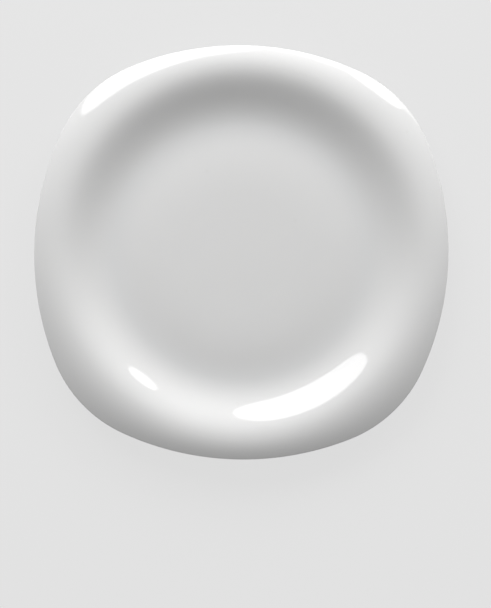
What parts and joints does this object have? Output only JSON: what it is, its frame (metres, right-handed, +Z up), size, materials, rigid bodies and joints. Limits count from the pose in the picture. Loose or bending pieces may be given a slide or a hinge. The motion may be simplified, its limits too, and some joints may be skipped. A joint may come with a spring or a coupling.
{
  "type": "dinner plate",
  "caption": "Rounded-square bone china plate with a round, slightly crowned well, a rolled rim that droops towards the corners and a turned foot ring.",
  "frame": {"origin": "on the table under the middle of the plate, in the plane that the foot ring stands on", "axes": "+Z up out of the well, +X and +Y towards the middles of two neighbouring sides"},
  "size_m": [0.27, 0.27, 0.022],
  "materials": {
    "bare_china": "matte, as fired and polished",
    "clear_glaze": "high gloss"
  },
  "bodies": {
    "root": {"china_body": "bare_china", "main_glaze": "clear_glaze", "base_glaze": "clear_glaze"}
  },
  "joints": []
}
